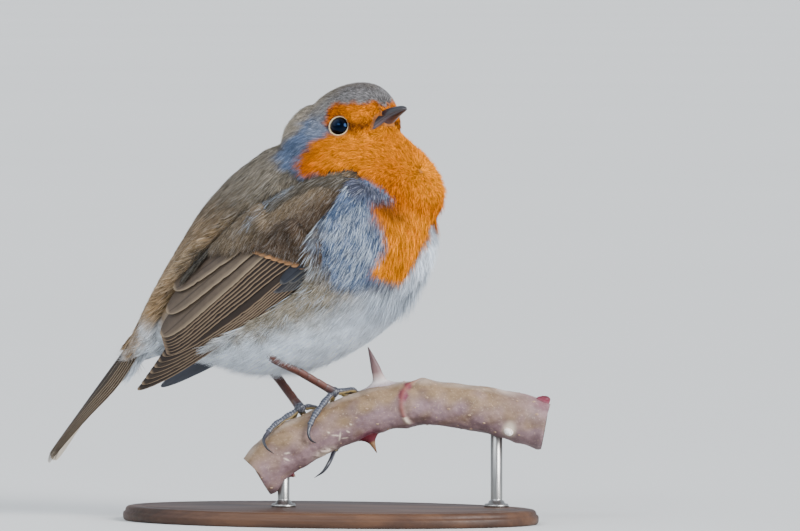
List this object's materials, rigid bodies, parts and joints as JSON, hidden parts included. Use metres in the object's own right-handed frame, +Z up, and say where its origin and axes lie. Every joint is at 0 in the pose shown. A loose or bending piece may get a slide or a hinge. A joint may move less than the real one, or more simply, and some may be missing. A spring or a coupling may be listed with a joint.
{
  "type": "european robin",
  "caption": "European robin standing fluffed up along a cut length of thorny rose stem, head turned aside, held over a flat oval base by short upright rods.",
  "frame": {"origin": "middle of the flat underside of the oval base, in the bird's middle plane", "axes": "+X the way the breast faces, +Y towards the bird's left side, +Z up"},
  "size_m": [0.1382, 0.066, 0.1191],
  "materials": {
    "plumage_body": "soft small body feathers, olive brown above, grey at the sides and white below",
    "plumage_orange": "soft small orange body feathers",
    "flight_feather": "smooth overlapping quill feathers, dark brown with tawny edges",
    "eye": "wet gloss",
    "horn": "satin horn",
    "leg_scale": "low sheen scales",
    "bark": "smooth young bark with thorns",
    "stand_wood": "dark stained, satin",
    "rod_steel": "brushed"
  },
  "bodies": {
    "root": {"head": "plumage_orange", "neck": "plumage_orange", "torso": "plumage_body", "wing_right": "flight_feather", "wing_left": "flight_feather", "tail": "flight_feather", "eye_right": "eye", "eye_left": "eye", "bill_upper": "horn", "bill_lower": "horn", "leg_right": "leg_scale", "leg_left": "leg_scale", "perch_stem": "bark", "stand_base": "stand_wood", "stand_rod_rear": "rod_steel", "stand_rod_front": "rod_steel", "claw_right_hind": "horn", "claw_right_inner": "horn", "claw_right_middle": "horn", "claw_right_outer": "horn", "claw_left_hind": "horn", "claw_left_inner": "horn", "claw_left_middle": "horn", "claw_left_outer": "horn"}
  },
  "joints": []
}
